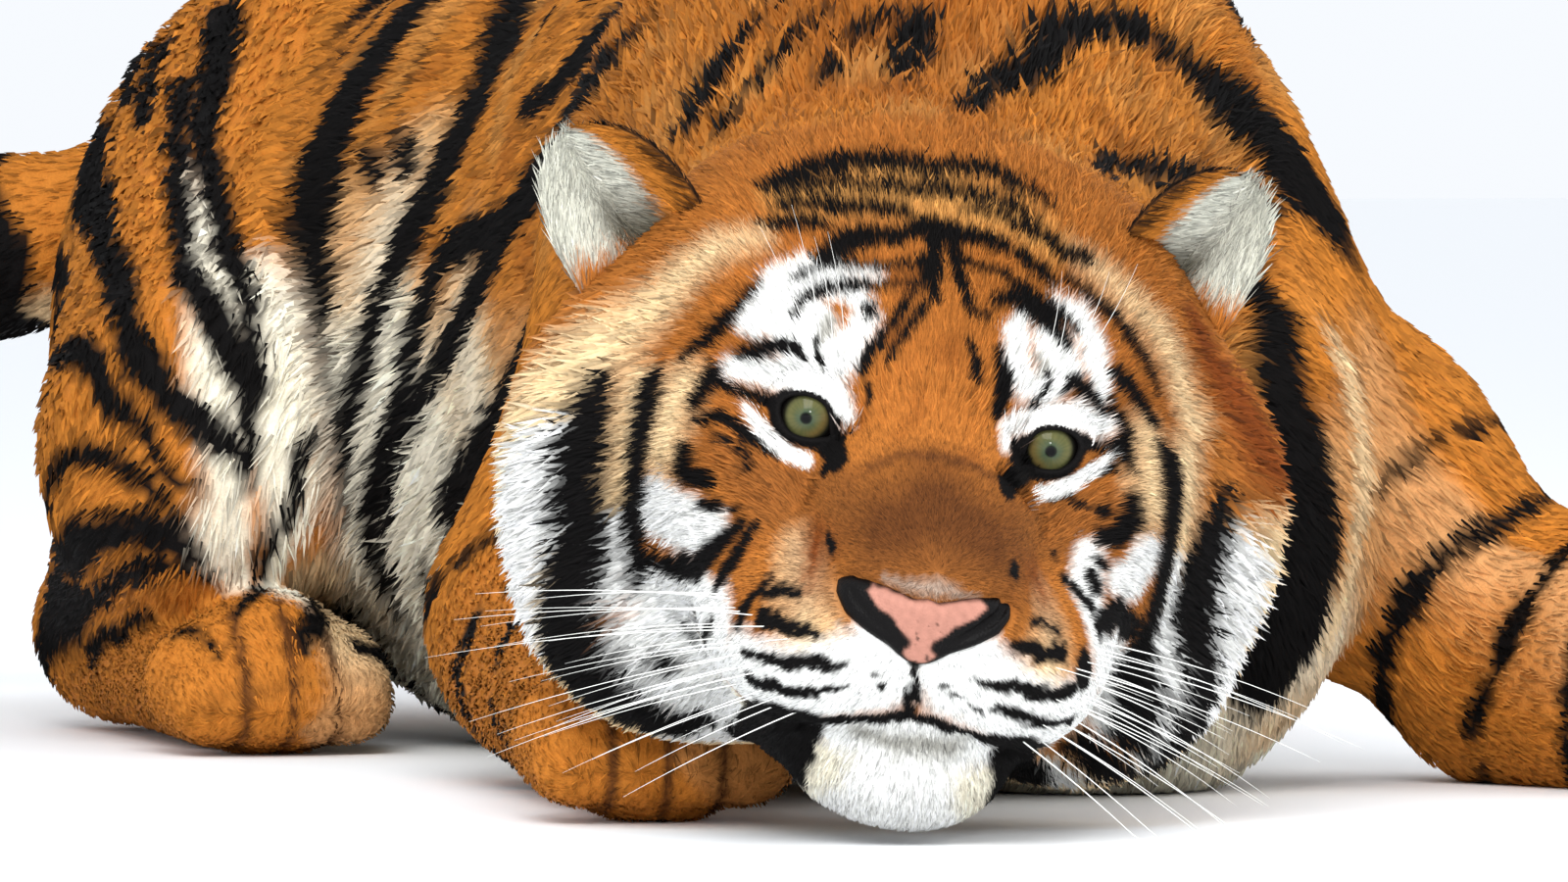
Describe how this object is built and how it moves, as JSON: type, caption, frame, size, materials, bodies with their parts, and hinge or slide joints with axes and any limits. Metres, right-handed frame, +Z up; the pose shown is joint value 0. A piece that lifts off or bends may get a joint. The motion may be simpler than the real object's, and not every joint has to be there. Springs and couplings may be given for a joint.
{
  "type": "siberian tiger",
  "caption": "Siberian tiger lying on its belly in winter coat, chin on the ground and head turned aside, still figure at life size.",
  "frame": {"origin": "on the floor, under the middle of the tiger's bounding box", "axes": "+Z up, +Y back along the trunk from shoulders to rump, +X to the tiger's left"},
  "size_m": [0.9396, 1.6246, 0.4747],
  "materials": {
    "orange_coat": "soft fur with black stripes",
    "cream_coat": "soft fur with black stripes",
    "ear_coat": "soft fur, pale hollow and dark back",
    "nose_leather": "bare pink skin",
    "eye": "wet and clear"
  },
  "bodies": {
    "root": {"skull": "orange_coat", "muzzle": "orange_coat", "lower_jaw": "cream_coat", "left_ruff": "cream_coat", "right_ruff": "cream_coat", "left_ear": "ear_coat", "right_ear": "ear_coat", "left_eye": "eye", "right_eye": "eye", "nose": "nose_leather", "neck": "orange_coat", "chest": "orange_coat", "belly": "orange_coat", "rump": "orange_coat", "left_upper_arm": "orange_coat", "left_forearm": "orange_coat", "left_fore_paw": "orange_coat", "right_upper_arm": "orange_coat", "right_forearm": "orange_coat", "right_fore_paw": "orange_coat", "left_thigh": "orange_coat", "left_lower_leg": "orange_coat", "left_hind_paw": "orange_coat", "right_thigh": "orange_coat", "right_lower_leg": "orange_coat", "right_hind_paw": "orange_coat", "tail_root": "orange_coat", "tail_middle": "orange_coat", "tail_end": "orange_coat", "tail_tip": "orange_coat"}
  },
  "joints": []
}
